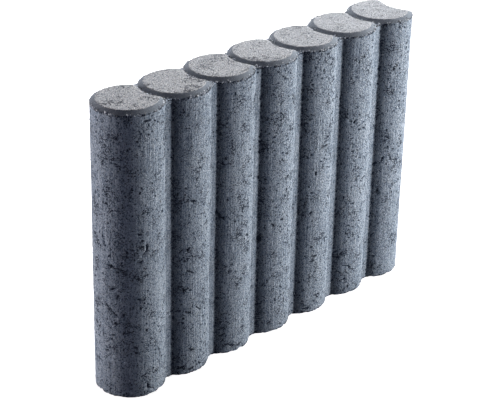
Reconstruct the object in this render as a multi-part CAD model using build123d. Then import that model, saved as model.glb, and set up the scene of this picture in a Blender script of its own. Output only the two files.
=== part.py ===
"""Concrete edging palisade: one cast block, a row of round posts that run into each other.

Millimetres, standing upright. X runs along the row, from the round end to the end with the
hollow that takes the next block's round end. Z is up, and the origin is on the floor, at the
middle of the block's length and thickness.
"""

import os

from build123d import *

# The row of posts
post_count = 7
post_radius = 40.0
post_pitch = 67.0

# Height from the floor to the flat tops
block_height = 350.0

# The flat web that fills each valley between two posts, set back from the posts' faces
web_setback = 12.0
valley_fillet = 1.5

# The sloped rim round each flat top: how far down and how far in
rim_drop = 4.0
rim_width = 6.3

# The upright hollow at the far end, with play round the next block's first post
end_play = 4.0
horn_rounding = 1.5

# Worked out from the sizes above
web_thickness = 2 * (post_radius - web_setback)
hollow_radius = post_radius + end_play
row_length = post_pitch * (post_count - 1)
hollow_x = row_length + post_pitch
shoulder_height = block_height - rim_drop


def post_middle(index: int) -> float:
    """X of a post's middle, with the first post's at zero."""
    return index * post_pitch


def block_outline() -> Sketch:
    """The block seen from above: posts, webs and the hollow end, with its corners eased."""
    outline = Sketch()
    for index in range(post_count):
        outline += Pos(post_middle(index), 0) * Circle(post_radius)
    outline += Pos(row_length / 2, 0) * Rectangle(row_length, web_thickness)
    outline -= Pos(hollow_x, 0) * Circle(hollow_radius)

    corners = outline.vertices().sort_by(Axis.X)
    outline = fillet(corners[-2:], horn_rounding)
    valley_corners = outline.vertices().filter_by(is_valley_corner)
    return fillet(valley_corners, valley_fillet)


def is_valley_corner(corner: Vertex) -> bool:
    """True for a corner that lies between the first and the last post's middles."""
    return 0 < corner.X < row_length


def rim_cone(middle: float, foot_radius: float, top_radius: float) -> Part:
    """A cone between shoulder and top, about the upright axis at a post's middle."""
    cone = Cone(foot_radius, top_radius, rim_drop, align=(Align.CENTER, Align.CENTER, Align.MIN))
    return Pos(middle, 0, shoulder_height) * cone


def post_tops() -> Part:
    """The flat tops with their sloped rims, each cut back round the post that comes next."""
    tops = Part()
    for index in range(post_count):
        is_last = index == post_count - 1
        next_radius = hollow_radius if is_last else post_radius
        next_groove = rim_cone(post_middle(index + 1), next_radius, next_radius + rim_width)
        tops += rim_cone(post_middle(index), post_radius, post_radius - rim_width) - next_groove
    return tops


def palisade_block() -> Part:
    """The whole block: a straight column on the outline, closed by the posts' tops."""
    outline = block_outline()
    shaft = extrude(outline, shoulder_height)
    top = extrude(outline, block_height) & post_tops()
    block = shaft + top
    return Pos(-block.bounding_box().center().X, 0, 0) * block


os.makedirs("parts", exist_ok=True)
export_step(palisade_block(), "parts/palisade_block.step")
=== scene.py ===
"""The concrete edging palisade: its cast skin, its loose grit, and the studio it stands in.

The block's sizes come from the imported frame's box and the mould's own proportions. The skin
is one closed mesh, roughened, pitted and sprinkled with grit by Geometry Nodes.
"""

from __future__ import annotations

import logging
import math
from dataclasses import dataclass
from enum import Enum

import bpy
import numpy as np
from mathutils import Matrix, Vector, geometry

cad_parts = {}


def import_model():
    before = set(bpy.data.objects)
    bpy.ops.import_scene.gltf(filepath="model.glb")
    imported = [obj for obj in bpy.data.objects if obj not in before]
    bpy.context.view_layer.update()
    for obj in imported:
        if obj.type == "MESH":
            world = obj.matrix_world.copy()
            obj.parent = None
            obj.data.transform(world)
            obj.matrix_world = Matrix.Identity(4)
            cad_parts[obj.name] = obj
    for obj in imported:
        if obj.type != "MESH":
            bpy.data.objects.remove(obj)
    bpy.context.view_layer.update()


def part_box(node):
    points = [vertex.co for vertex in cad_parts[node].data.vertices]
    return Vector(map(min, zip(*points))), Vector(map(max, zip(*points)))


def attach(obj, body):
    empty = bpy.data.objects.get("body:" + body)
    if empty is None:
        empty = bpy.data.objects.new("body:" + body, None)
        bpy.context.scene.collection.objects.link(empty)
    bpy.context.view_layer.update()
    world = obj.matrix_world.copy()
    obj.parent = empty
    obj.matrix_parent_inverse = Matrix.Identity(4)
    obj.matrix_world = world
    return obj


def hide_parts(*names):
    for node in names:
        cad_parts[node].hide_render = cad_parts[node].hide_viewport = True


LOG = logging.getLogger("palisade")
MM = 0.001

# How near an edge a point counts as on it
SLACK = 0.1 * MM

Triple = tuple[float, float, float]
Span = tuple[float, float]


class Mark(Enum):
    """Attributes that the skin carries for its finish, its wear and its painted corner shade."""

    REST_HEIGHT = "rest_height"
    PIT = "pit"
    SPECK = "speck"
    VOID_REACH = "void_reach"
    VOID_OFFSET = "void_offset"
    # How deep a point sits in a web's far corner, where painted shade darkens the colour
    CORNER_SHADE = "recess"
    LEDGE = "ledge"
    WEB = "web"


class Carries(Enum):
    """What a node group's socket carries."""

    GEOMETRY = "NodeSocketGeometry"
    VECTOR = "NodeSocketVector"
    NUMBER = "NodeSocketFloat"
    WHOLE_NUMBER = "NodeSocketInt"
    FINISH = "NodeSocketMaterial"


@dataclass(frozen=True)
class Patches:
    """Patches that a noise opens.

    Attributes:
        size: The width of the noise's lumps, in metres.
        closed: The noise's value up to which there is nothing.
        whole: The value from which a patch is whole.
        detail: How many finer layers the noise has.
        roughness: How strong the finer layers are.
    """

    size: float
    closed: float
    whole: float
    detail: float = 2.0
    roughness: float = 0.5


class Graph:
    """Writes nodes and links into one node tree."""

    def __init__(self, tree: bpy.types.NodeTree) -> None:
        """Keeps the tree that the nodes go into.

        Args:
            tree: A shader or geometry node tree.
        """
        self.tree = tree

    @classmethod
    def group(cls, name: str, kind: str, inputs: dict[str, Carries],
              outputs: dict[str, Carries]) -> tuple[Graph, dict[str, bpy.types.NodeSocket]]:
        """Opens a new node group.

        Args:
            name: The group's name.
            kind: Its Blender type.
            inputs: What each of its named inputs carries.
            outputs: What each of its named outputs carries.

        Returns:
            The group's graph and its inputs by name.
        """
        tree = bpy.data.node_groups.new(name, kind)
        for title, carries in inputs.items():
            tree.interface.new_socket(title, in_out="INPUT", socket_type=carries.value)
        for title, carries in outputs.items():
            tree.interface.new_socket(title, in_out="OUTPUT", socket_type=carries.value)
        g = cls(tree)
        given = g.add("NodeGroupInput")
        return g, {s.name: s for s in given.outputs if s.name}

    @classmethod
    def emptied(cls, owner: bpy.types.Material | bpy.types.World) -> Graph:
        """Opens the node tree of a material or a world, without its default nodes.

        Args:
            owner: The material or world.

        Returns:
            Its graph.
        """
        owner.use_nodes = True
        owner.node_tree.nodes.clear()
        return cls(owner.node_tree)

    @staticmethod
    def socket(sockets: bpy.types.bpy_prop_collection, name: str) -> bpy.types.NodeSocket:
        """Finds the socket of a name that the node's settings leave in use.

        Args:
            sockets: A node's inputs or outputs.
            name: The socket's name.

        Returns:
            The first enabled socket of that name.
        """
        return next(s for s in sockets if s.name == name and s.enabled)

    def add(self, kind: str, feeds: dict | None = None, **settings) -> bpy.types.Node:
        """Adds a node.

        Args:
            kind: The node's Blender type.
            feeds: What goes into each named input: a number, a vector or another socket.
            settings: The node's own properties.

        Returns:
            The new node.
        """
        node = self.tree.nodes.new(kind)
        for name, value in settings.items():
            setattr(node, name, value)
        for name, value in (feeds or {}).items():
            self.feed(self.socket(node.inputs, name), value)
        return node

    def feed(self, socket: bpy.types.NodeSocket, value: object) -> None:
        """Links a socket to another, or sets its own value.

        Args:
            socket: The input to fill.
            value: Another node's output, or a plain value.
        """
        if isinstance(value, bpy.types.NodeSocket):
            self.tree.links.new(value, socket)
        elif value is not None:
            socket.default_value = value

    def out(self, node: bpy.types.Node, name: str = "") -> bpy.types.NodeSocket:
        """Gives a node's output.

        Args:
            node: The node.
            name: The output's name, or nothing for the first one in use.

        Returns:
            The output socket.
        """
        if name:
            return self.socket(node.outputs, name)
        return next(s for s in node.outputs if s.enabled)

    def math(self, operation: str, *values: object) -> bpy.types.NodeSocket:
        """Adds a Math node.

        Args:
            operation: The node's operation.
            values: Its numbers or sockets, in order.

        Returns:
            The result.
        """
        node = self.add("ShaderNodeMath", operation=operation)
        for socket, value in zip(node.inputs, values):
            self.feed(socket, value)
        return node.outputs[0]

    def vector(self, operation: str, *values: object) -> bpy.types.NodeSocket:
        """Adds a Vector Math node.

        Args:
            operation: The node's operation.
            values: Its vectors or sockets, in order; SCALE takes the factor last.

        Returns:
            The result.
        """
        node = self.add("ShaderNodeVectorMath", operation=operation)
        sockets = [s for s in node.inputs if s.enabled]
        for socket, value in zip(sockets, values):
            self.feed(socket, value)
        return self.out(node)

    def ramp(self, value: object, low: float, high: float, start: float = 0.0,
             end: float = 1.0) -> bpy.types.NodeSocket:
        """Maps a value smoothly from one span to another, held at both ends.

        Args:
            value: The value to map.
            low: Where the source span starts.
            high: Where it ends.
            start: What low becomes.
            end: What high becomes.

        Returns:
            The mapped value.
        """
        feeds = {"Value": value, "From Min": low, "From Max": high, "To Min": start, "To Max": end}
        node = self.add("ShaderNodeMapRange", feeds, interpolation_type="SMOOTHSTEP")
        return self.out(node)

    def fade(self, share: object, start: object, end: object) -> bpy.types.NodeSocket:
        """Goes smoothly from one value to another as a share goes from 0 to 1."""
        return self.ramp(share, 0.0, 1.0, start, end)

    def above(self, value: object, limit: object) -> bpy.types.NodeSocket:
        """Gives 1 where a value is above a limit, and 0 elsewhere."""
        return self.math("GREATER_THAN", value, limit)

    def per(self, size: object) -> object:
        """Turns a pattern's size into its scale.

        Args:
            size: A number of metres or a socket that gives it.

        Returns:
            One over it, in the same form.
        """
        if isinstance(size, bpy.types.NodeSocket):
            return self.math("DIVIDE", 1.0, size)
        return 1.0 / size

    def noise(self, vector: object, size: object, detail: float = 2.0,
              roughness: float = 0.5) -> bpy.types.NodeSocket:
        """Adds a noise of a given grain size.

        Args:
            vector: Where to read it, in metres.
            size: The width of its lumps, in metres, or a socket that gives it.
            detail: How many finer layers it has.
            roughness: How strong the finer layers are.

        Returns:
            The noise, from 0 to 1.
        """
        feeds = {"Vector": vector, "Scale": self.per(size), "Detail": detail,
                 "Roughness": roughness}
        node = self.add("ShaderNodeTexNoise", feeds)
        return node.outputs[0]

    def cells(self, vector: object, size: object) -> tuple[bpy.types.NodeSocket, ...]:
        """Splits space into random cells, one for each grain or pore.

        Args:
            vector: Where to read them, in metres.
            size: The cells' width, in metres, or a socket that gives it.

        Returns:
            The distance to the cell's middle, in cell widths, and two random numbers of its own.
        """
        node = self.add("ShaderNodeTexVoronoi", {"Vector": vector, "Scale": self.per(size)})
        parts = self.add("ShaderNodeSeparateColor", {"Color": self.out(node, "Color")})
        return self.out(node, "Distance"), parts.outputs[0], parts.outputs[1]

    def patches(self, vector: object, patches: Patches, closed: float = 0.0,
                whole: float = 1.0) -> bpy.types.NodeSocket:
        """Opens patches in a noise.

        Args:
            vector: Where to read it, in metres.
            patches: Their size and how far they open.
            closed: The result outside them.
            whole: The result inside them.

        Returns:
            A smooth mask, or a value that follows it.
        """
        noise = self.noise(vector, patches.size, patches.detail, patches.roughness)
        return self.ramp(noise, patches.closed, patches.whole, closed, whole)

    def about(self, value: object, middle: float, reach: object) -> bpy.types.NodeSocket:
        """Scales a value's swing about its middle: (value - middle) * reach."""
        return self.math("MULTIPLY", self.math("SUBTRACT", value, middle), reach)

    def random(self, kind: str, seed: object, **limits: object) -> bpy.types.NodeSocket:
        """Draws a random value for each element.

        Args:
            kind: The value's data type.
            seed: The draw's seed.
            limits: The node's own inputs, such as Min and Max.

        Returns:
            The value.
        """
        node = self.add("FunctionNodeRandomValue", {**limits, "Seed": seed}, data_type=kind)
        return self.out(node)

    def blend(self, share: object, first: object, second: object) -> bpy.types.NodeSocket:
        """Mixes two colours.

        Args:
            share: How much of the second there is, from 0 to 1.
            first: A colour or a socket.
            second: A colour or a socket.

        Returns:
            The mixed colour.
        """
        feeds = {"Factor": share, "A": first, "B": second}
        return self.out(self.add("ShaderNodeMix", feeds, data_type="RGBA"))

    def either(self, share: object, first: object, second: object) -> bpy.types.NodeSocket:
        """Mixes two shaders.

        Args:
            share: How much of the second there is, from 0 to 1.
            first: A shader's socket.
            second: A shader's socket.

        Returns:
            The mixed shader.
        """
        both = self.add("ShaderNodeMixShader", {"Fac": share})
        self.feed(both.inputs[1], first)
        self.feed(both.inputs[2], second)
        return both.outputs[0]

    def swing(self, vector: object, size: object, reach: float = 2.0,
              detail: float = 2.0) -> bpy.types.NodeSocket:
        """A noise that swings evenly about zero.

        Args:
            vector: Where to read it, in metres.
            size: The width of its lumps, in metres, or a socket that gives it.
            reach: The full width of the swing, from -1 to 1 where it isn't given.
            detail: How many finer layers it has.

        Returns:
            The noise, from about -reach/2 to reach/2.
        """
        return self.about(self.noise(vector, size, detail), 0.5, reach)

    def along_x(self, vector: object) -> bpy.types.NodeSocket:
        """Gives a vector's X."""
        return self.add("ShaderNodeSeparateXYZ", {"Vector": vector}).outputs[0]

    def chain(self, operation: str, values: tuple[object, ...]) -> bpy.types.NodeSocket:
        """Joins values by one operation, from the first to the last.

        Args:
            operation: The Math node's operation.
            values: Numbers or sockets.

        Returns:
            The result.
        """
        result = values[0]
        for value in values[1:]:
            result = self.math(operation, result, value)
        return result

    def total(self, *values: object) -> bpy.types.NodeSocket:
        """Adds values up."""
        return self.chain("ADD", values)

    def product(self, *values: object) -> bpy.types.NodeSocket:
        """Multiplies values."""
        return self.chain("MULTIPLY", values)

    def highest(self, *values: object) -> bpy.types.NodeSocket:
        """Gives the highest of some values."""
        return self.chain("MAXIMUM", values)

    def mark(self, mark: Mark) -> bpy.types.NodeSocket:
        """Reads one of the skin's own attributes in a geometry tree.

        Args:
            mark: Which attribute.

        Returns:
            Its value.
        """
        feeds = {"Name": mark.value}
        node = self.add("GeometryNodeInputNamedAttribute", feeds, data_type="FLOAT")
        return self.out(node, "Attribute")

    def skin(self, mark: Mark) -> bpy.types.NodeSocket:
        """Reads one of the skin's own attributes in a material."""
        return self.out(self.add("ShaderNodeAttribute", attribute_name=mark.value), "Fac")


@dataclass(frozen=True)
class BlockSizes:
    """The mould's sizes, in metres."""

    first_post: float
    post_radius: float
    height: float
    post_count: int = 7
    post_pitch: float = 67 * MM
    web_half: float = 28 * MM
    valley_fillet: float = 1.5 * MM
    rim_drop: float = 4 * MM
    rim_width: float = 6.3 * MM
    end_play: float = 4 * MM
    horn_rounding: float = 1.5 * MM

    @classmethod
    def from_frame(cls, node: str) -> BlockSizes:
        """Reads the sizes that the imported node's box gives.

        Args:
            node: The block's CAD node.

        Returns:
            The block's sizes.
        """
        low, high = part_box(node)
        radius = (high[1] - low[1]) / 2
        return cls(first_post=low[0] + radius, post_radius=radius, height=high[2])

    @property
    def shoulder(self) -> float:
        """Height of the rims' lower edge."""
        return self.height - self.rim_drop

    @property
    def hollow_radius(self) -> float:
        """Radius of the hollow that takes the next block."""
        return self.post_radius + self.end_play

    @property
    def valley_reach(self) -> float:
        """How far from a post's middle the flat web of the valley beside it starts."""
        drop = self.web_half + self.valley_fillet
        return math.sqrt((self.post_radius + self.valley_fillet) ** 2 - drop**2)

    def middle(self, index: int) -> float:
        """X of a post's middle; one past the last is the hollow's."""
        return self.first_post + index * self.post_pitch

    def circle(self, index: int) -> float:
        """Radius of a post, or of the hollow for the one past the last."""
        return self.post_radius if index < self.post_count else self.hollow_radius

    def top_height(self, x: np.ndarray, y: np.ndarray) -> np.ndarray:
        """Height of the block's upper side over points of its outline.

        Args:
            x: The points' X.
            y: The points' Y.

        Returns:
            Their heights: flat tops, sloped rims and the V grooves between posts.
        """
        slope = self.rim_drop / self.rim_width
        height = np.full_like(x, self.shoulder)
        for index in range(self.post_count + 1):
            reach = np.hypot(x - self.middle(index), y)
            rise = (reach - self.circle(index)) * slope
            groove = self.shoulder + np.maximum(rise, 0)
            height = np.minimum(height, groove)
            if index < self.post_count:
                cap = np.minimum(self.height, self.shoulder - rise)
                height = np.where(rise < 0, cap, height)
        return height

    def ledge(self, x: np.ndarray, y: np.ndarray) -> np.ndarray:
        """Tells which points of the upper side lie on the near slope of a groove.

        Args:
            x: The points' X.
            y: The points' Y.

        Returns:
            1 where a flat top runs down to the groove round the next post, and 0 elsewhere.
        """
        found = np.zeros_like(x)
        for index in range(self.post_count):
            own = np.hypot(x - self.middle(index), y)
            beyond = np.hypot(x - self.middle(index + 1), y) - self.circle(index + 1)
            in_rim = self.post_radius - own < beyond
            near = (beyond > -SLACK) & (beyond < self.rim_width + SLACK) & ~in_rim
            found = np.where(near, 1.0, found)
        return found


@dataclass(frozen=True)
class Void:
    """One open void in a post's front: a ragged slot along a short straight line.

    Attributes:
        post: Which post, counted from 1 at the round end.
        angle: Where the line starts, in degrees from the front towards the hollow end.
        height: Where it starts above the floor, in millimetres.
        width: The slot's width, in millimetres.
        across: How far the line runs round the post, in millimetres.
        rise: How far it climbs, in millimetres.
    """

    # The square of a length, in square metres, below which a slot's line is a point
    POINT_LIKE = 1e-12

    post: int
    angle: float
    height: float
    width: float = 2.0
    across: float = 0.0
    rise: float = 0.0

    def spot(self, sizes: BlockSizes, share: float) -> np.ndarray:
        """Gives a point of the line, in metres.

        Args:
            sizes: The block's sizes.
            share: How far along the line, from 0 to 1.

        Returns:
            The point on the post's wall.
        """
        turn = math.radians(self.angle) + share * self.across * MM / sizes.post_radius
        x = sizes.middle(self.post - 1) + sizes.post_radius * math.sin(turn)
        y = -sizes.post_radius * math.cos(turn)
        return np.array([x, y, (self.height + share * self.rise) * MM])

    def offset(self, sizes: BlockSizes, points: np.ndarray) -> np.ndarray:
        """How points lie from the slot's line.

        Args:
            sizes: The block's sizes.
            points: The points, one in a row.

        Returns:
            For each point, the way to it from the line's nearest point, in metres.
        """
        start, end = self.spot(sizes, 0.0), self.spot(sizes, 1.0)
        along = end - start
        length = max(float(along @ along), self.POINT_LIKE)
        share = np.clip((points - start) @ along / length, 0, 1)
        return points - start - share[:, None] * along


VOIDS = (
    Void(1, -74, 166, 2.6, 7, -1), Void(1, -62, 165, 1.4, 12, -3), Void(1, -12, 192, 2.4, 1, -5),
    Void(1, -18, 180, 1.4, 5, 6), Void(1, 0, 181, 1.6, 5, 0), Void(1, -27, 172, 2.0, 4, 0),
    Void(1, -81, 117, 2.0, 14, -12), Void(1, -50, 106, 2.4, 1, 2), Void(1, -26, 207, 1.8, 4, -2),
    Void(1, -68, 138, 2.0, 3, 1), Void(1, -60, 128, 2.2, 2, 4), Void(1, -12, 14, 3.0, 1, -4),
    Void(1, -22, 26, 1.8, 5, 2), Void(1, -4, 8, 2.2, 3, -2), Void(1, -34, 60, 1.8, 3, -3),
    Void(2, -36, 8, 2.2, 5, 2), Void(2, -18, 5, 2.6, 6, 1), Void(2, 2, 10, 2.0, 4, -2),
    Void(3, -38, 24, 2.0, 6, 2), Void(3, -20, 10, 2.2, 7, -2), Void(3, -2, 6, 2.4, 5, 1),
    Void(4, -24, 12, 2.2, 3, 2), Void(4, -45, 40, 2.6, 2, 1), Void(5, -30, 6, 2.0, 8, 0),
    Void(2, -35, 159, 1.8, 4, 4), Void(2, -20, 160, 2.0, 2, 5), Void(2, -21, 136, 1.8, 8, -5),
    Void(2, -41, 85, 1.8, 7, 0), Void(2, -24, 83, 2.2, 5, -2), Void(2, -4, 86, 1.6, 7, -6),
    Void(2, -14, 222, 3.4, 4, -1),
    Void(3, -28, 202, 2.6), Void(3, -45, 188, 2.6, 5, -7), Void(3, -40, 180, 2.6, 5, 0),
    Void(3, -10, 161, 2.0), Void(3, 12, 149, 1.8, 3, 0), Void(3, 11, 193, 1.2, 10, 4),
    Void(4, -44, 131, 5.0, 1, -3), Void(4, -3, 149, 2.2, 3, 0), Void(4, -21, 147, 2.0, 2, -3),
    Void(5, -26, 215, 2.4), Void(5, -15, 188, 2.2, 0, 3), Void(5, -11, 174, 2.0),
    Void(5, -22, 156, 2.0), Void(5, -36, 136, 2.4), Void(5, -23, 137, 2.4, 1, 2),
    Void(5, 10, 45, 2.0), Void(5, -8, 22, 2.2, 8, -1),
    Void(6, -39, 182, 2.6), Void(6, 9, 155, 1.8, 6, 2), Void(6, -47, 60, 2.0, 6, 2),
    Void(6, -47, 55, 2.0, 8, -2), Void(6, -33, 58, 2.2, 4, 3), Void(6, -26, 41, 1.6, 8, -2),
    Void(6, -12, 37, 3.0), Void(6, 12, 58, 1.6, 8, 8), Void(6, -23, 21, 2.2, 2, 1),
    Void(7, -30, 165, 2.6, 1, 5), Void(7, -27, 198, 2.0, 5, -3), Void(7, -46, 160, 2.0, 4, 3),
    Void(7, -36, 123, 2.8, 1, 3), Void(7, -36, 87, 2.4), Void(7, -43, 60, 1.6, 5, 4),
    Void(7, 6, 43, 2.2, 2, 2),
)


@dataclass
class RowOutline:
    """The block seen from above, as a closed loop of evenly spaced points."""

    FEWEST_IN_ARC = 3
    FEWEST_IN_FLAT = 2

    sizes: BlockSizes
    cell: float

    def arc(self, centre: tuple[float, float], radius: float, start: float,
            end: float) -> np.ndarray:
        """Points along an arc, without its last one.

        Args:
            centre: The arc's middle.
            radius: Its radius.
            start: The angle it starts at.
            end: The angle it ends at, lower than start where it runs clockwise.

        Returns:
            An array of points.
        """
        steps = max(self.FEWEST_IN_ARC, round(abs(end - start) * radius / self.cell))
        angles = np.linspace(start, end, steps, endpoint=False)
        x = centre[0] + radius * np.cos(angles)
        y = centre[1] + radius * np.sin(angles)
        return np.stack([x, y], 1)

    def valley(self, middle: float) -> list[np.ndarray]:
        """The two eased corners and the flat web after a post, on the front.

        Args:
            middle: X of the post before the valley.

        Returns:
            Runs of points, from the post's arc to the next post's.
        """
        s = self.sizes
        drop = s.web_half + s.valley_fillet
        reach = s.valley_reach
        turn = math.atan2(drop, reach)
        left, right = middle + reach, middle + s.post_pitch - reach
        steps = max(self.FEWEST_IN_FLAT, round((right - left) / self.cell))
        flat_x = np.linspace(left, right, steps, endpoint=False)
        flat = np.stack([flat_x, np.full(steps, -s.web_half)], 1)
        return [
            self.arc((left, -drop), s.valley_fillet, math.pi - turn, math.pi / 2),
            flat,
            self.arc((right, -drop), s.valley_fillet, math.pi / 2, turn),
        ]

    def valley_turn(self) -> float:
        """Angle, from the row's line, at which a post's arc gives way to a valley."""
        s = self.sizes
        drop = s.web_half + s.valley_fillet
        return math.asin(drop / (s.post_radius + s.valley_fillet))

    def horn(self) -> tuple[float, list[np.ndarray]]:
        """The rounded tip and the front half of the hollow.

        Returns:
            The angle at which the last post's arc ends, and the runs of points after it.
        """
        s = self.sizes
        last = s.middle(s.post_count - 1)
        post, hollow = s.post_radius - s.horn_rounding, s.hollow_radius + s.horn_rounding
        reach = (s.post_pitch**2 + post**2 - hollow**2) / (2 * s.post_pitch)
        side = math.sqrt(post**2 - reach**2)
        leave = math.atan2(side, reach)
        enter = math.atan2(side, s.post_pitch - reach)
        tip = self.arc((last + reach, -side), s.horn_rounding, -leave, enter)
        inner = self.arc((s.middle(s.post_count), 0), s.hollow_radius, math.pi + enter, math.pi)
        return leave, [tip, inner]

    def loop(self) -> np.ndarray:
        """The whole outline, anticlockwise from the round end's tip.

        Returns:
            An array of points; the last joins the first.
        """
        s = self.sizes
        turn = self.valley_turn()
        leave, horn = self.horn()
        runs = []
        for index in range(s.post_count):
            start = math.pi if index == 0 else math.pi + turn
            is_last = index == s.post_count - 1
            end = 2 * math.pi - (leave if is_last else turn)
            runs.append(self.arc((s.middle(index), 0), s.post_radius, start, end))
            runs.extend(horn if is_last else self.valley(s.middle(index)))
        front = np.concatenate(runs)
        inmost = np.array([[s.middle(s.post_count) - s.hollow_radius, 0.0]])
        back = front[:0:-1] * np.array([1, -1])
        return np.concatenate([front, inmost, back])


@dataclass
class TopMesh:
    """Triangles over the outline, with the rims' and grooves' edges among them.

    Attributes:
        sizes: The block's sizes.
        loop: The outline's points.
        cell: The points' distance from each other, in metres.
        crease_gap: How near a crease's point may lie to another, in cells.
        infill_gap: How near the infill may lie to a crease or the loop, in cells.
        mitre_density: Points to a cell's length of a mitre.
    """

    # How many points are compared at once
    BATCH = 2000
    # The distance, in metres, within which points become one
    MERGE_WITHIN = 1e-7
    # The kind of triangulation that keeps what lies inside the loop
    INSIDE_ONLY = 1

    sizes: BlockSizes
    loop: np.ndarray
    cell: float
    crease_gap: float = 0.4
    infill_gap: float = 0.75
    mitre_density: float = 1.5

    def ring(self, index: int, radius: float) -> np.ndarray:
        """Points round a post's middle.

        Args:
            index: Which post.
            radius: The ring's radius.

        Returns:
            An array of points.
        """
        steps = round(2 * math.pi * radius / self.cell)
        angles = np.linspace(0, 2 * math.pi, steps, endpoint=False)
        middle = self.sizes.middle(index)
        return np.stack([middle + radius * np.cos(angles), radius * np.sin(angles)], 1)

    def reach(self, points: np.ndarray, index: int) -> np.ndarray:
        """How far points lie from a post's middle, or from the hollow's."""
        return np.hypot(points[:, 0] - self.sizes.middle(index), points[:, 1])

    def creases(self) -> list[np.ndarray]:
        """The edges of the flat tops, the rims' feet and the grooves' near edges.

        Returns:
            One array of points for each crease.
        """
        s = self.sizes
        found = []
        for index in range(s.post_count):
            following = s.circle(index + 1)
            edge = self.ring(index, s.post_radius - s.rim_width)
            found.append(edge[self.reach(edge, index + 1) > following + s.rim_width])
            foot = self.ring(index, s.post_radius)
            found.append(foot[self.reach(foot, index + 1) > following])
            near = self.ring(index + 1, following + s.rim_width)
            found.append(near[self.reach(near, index) < s.post_radius - s.rim_width])
            found.extend(self.mitre(index, following, side) for side in (-1, 1))
        return found

    def mitre(self, index: int, following: float, side: int) -> np.ndarray:
        """The line where a post's rim meets the slope of the groove beside it.

        Args:
            index: Which post.
            following: The next circle's radius.
            side: Which side of the row, -1 or 1.

        Returns:
            An array of points.
        """
        s = self.sizes
        steps = round(self.mitre_density * s.rim_width / self.cell)
        inward = np.linspace(0, s.rim_width, steps)
        own, other = s.post_radius - inward, following + inward
        x = (s.post_pitch**2 + own**2 - other**2) / (2 * s.post_pitch)
        return np.stack([s.middle(index) + x, side * np.sqrt(own**2 - x**2)], 1)

    def fill(self) -> np.ndarray:
        """Evenly packed points over the block's box, in staggered rows.

        Returns:
            An array of points.
        """
        low, high = self.loop.min(0), self.loop.max(0)
        row = self.cell * math.sqrt(3) / 2
        ys = np.arange(low[1], high[1], row)
        xs = np.arange(low[0], high[0], self.cell)
        x, y = np.meshgrid(xs, ys)
        x = x + (np.arange(len(ys)) % 2)[:, None] * self.cell / 2
        return np.stack([x.ravel(), y.ravel()], 1)

    @classmethod
    def clear(cls, points: np.ndarray, others: np.ndarray, gap: float) -> np.ndarray:
        """Keeps the points that lie clear of others.

        Args:
            points: The points to thin out.
            others: What they keep clear of.
            gap: The least distance.

        Returns:
            The points that are left.
        """
        keep = np.ones(len(points), bool)
        for start in range(0, len(points), cls.BATCH):
            batch = slice(start, start + cls.BATCH)
            apart = points[batch, None] - others[None]
            keep[batch] = np.hypot(apart[..., 0], apart[..., 1]).min(1) > gap
        return points[keep]

    def inside(self, points: np.ndarray) -> np.ndarray:
        """True for the points inside the loop, counted by crossings of its edges.

        Args:
            points: The points to test.

        Returns:
            An array of flags.
        """
        a, b = self.loop, np.roll(self.loop, -1, 0)
        odd = np.zeros(len(points), bool)
        for (ax, ay), (bx, by) in zip(a, b):
            crosses = (ay > points[:, 1]) != (by > points[:, 1])
            if ay != by:
                at = ax + (points[:, 1] - ay) * (bx - ax) / (by - ay)
                odd ^= crosses & (points[:, 0] < at)
        return odd

    def build(self, with_creases: bool) -> tuple[np.ndarray, list[tuple[int, ...]]]:
        """Triangulates the outline.

        Args:
            with_creases: Whether the upper side's creases are among the edges.

        Returns:
            The points, the loop's first, and the triangles, anticlockwise from above.
        """
        count = len(self.loop)
        anchors = self.loop
        if with_creases:
            for crease in self.creases():
                crease = crease[self.inside(crease)]
                kept = self.clear(crease, anchors, self.crease_gap * self.cell)
                anchors = np.concatenate([anchors, kept])
        infill = self.clear(self.fill(), anchors, self.infill_gap * self.cell)
        points = np.concatenate([anchors, infill[self.inside(infill)]])
        border = [(i, (i + 1) % count) for i in range(count)]
        vectors = [Vector(p) for p in points]
        _, _, found, sources, *_ = geometry.delaunay_2d_cdt(
            vectors, border, [list(range(count))], self.INSIDE_ONLY, self.MERGE_WITHIN)
        origin = [merged[0] for merged in sources]
        return points, [tuple(origin[i] for i in face) for face in found]


@dataclass(frozen=True)
class SkinReadings:
    """What the wear tree reads at each place on the skin.

    Attributes:
        given: The tree's own inputs, by name.
        place: The position.
        squashed: The same, squashed for the voids.
        rest: The rest height.
        under_rim: How far the place lies under the rims' feet.
        flat: 1 on the flat tops.
    """

    given: dict[str, bpy.types.NodeSocket]
    place: bpy.types.NodeSocket
    squashed: bpy.types.NodeSocket
    rest: bpy.types.NodeSocket
    under_rim: bpy.types.NodeSocket
    flat: bpy.types.NodeSocket


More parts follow.
